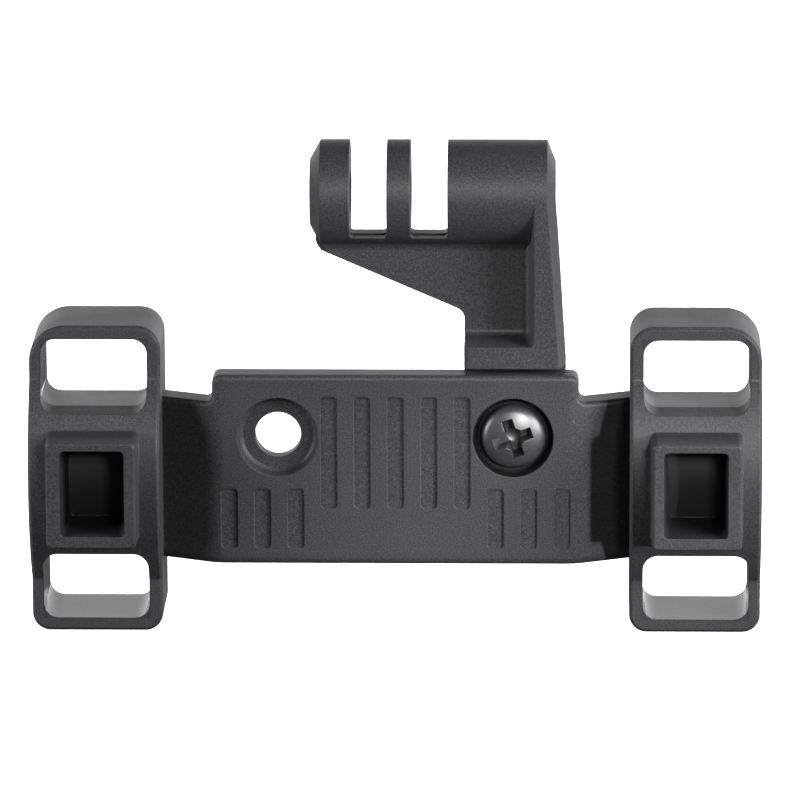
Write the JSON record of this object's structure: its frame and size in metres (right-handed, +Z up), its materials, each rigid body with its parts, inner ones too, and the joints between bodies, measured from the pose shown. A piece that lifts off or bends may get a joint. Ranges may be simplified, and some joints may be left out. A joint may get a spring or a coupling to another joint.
{
  "type": "handlebar display mount",
  "caption": "Black moulded handlebar mount: a grooved plate between strap-on saddle feet with hollow bosses, and a screwed-on arm with a finger lug.",
  "frame": {"origin": "on the deepest line of the two bar saddles, midway between the feet", "axes": "+X along the handlebar, +Y back to the bar, +Z up towards the finger lug"},
  "size_m": [0.073, 0.0182, 0.0492],
  "materials": {
    "moulded_bracket": "fine moulded texture",
    "moulded_arm": "fine moulded texture",
    "black_screw": "black oxide, satin",
    "nut_steel": "zinc plated",
    "nut_brass": "turned and knurled"
  },
  "bodies": {
    "root": {"bridge_bracket": "moulded_bracket", "finger_arm": "moulded_arm", "arm_screw": "black_screw", "arm_nut": "nut_steel", "finger_nut": "nut_brass"}
  },
  "joints": []
}
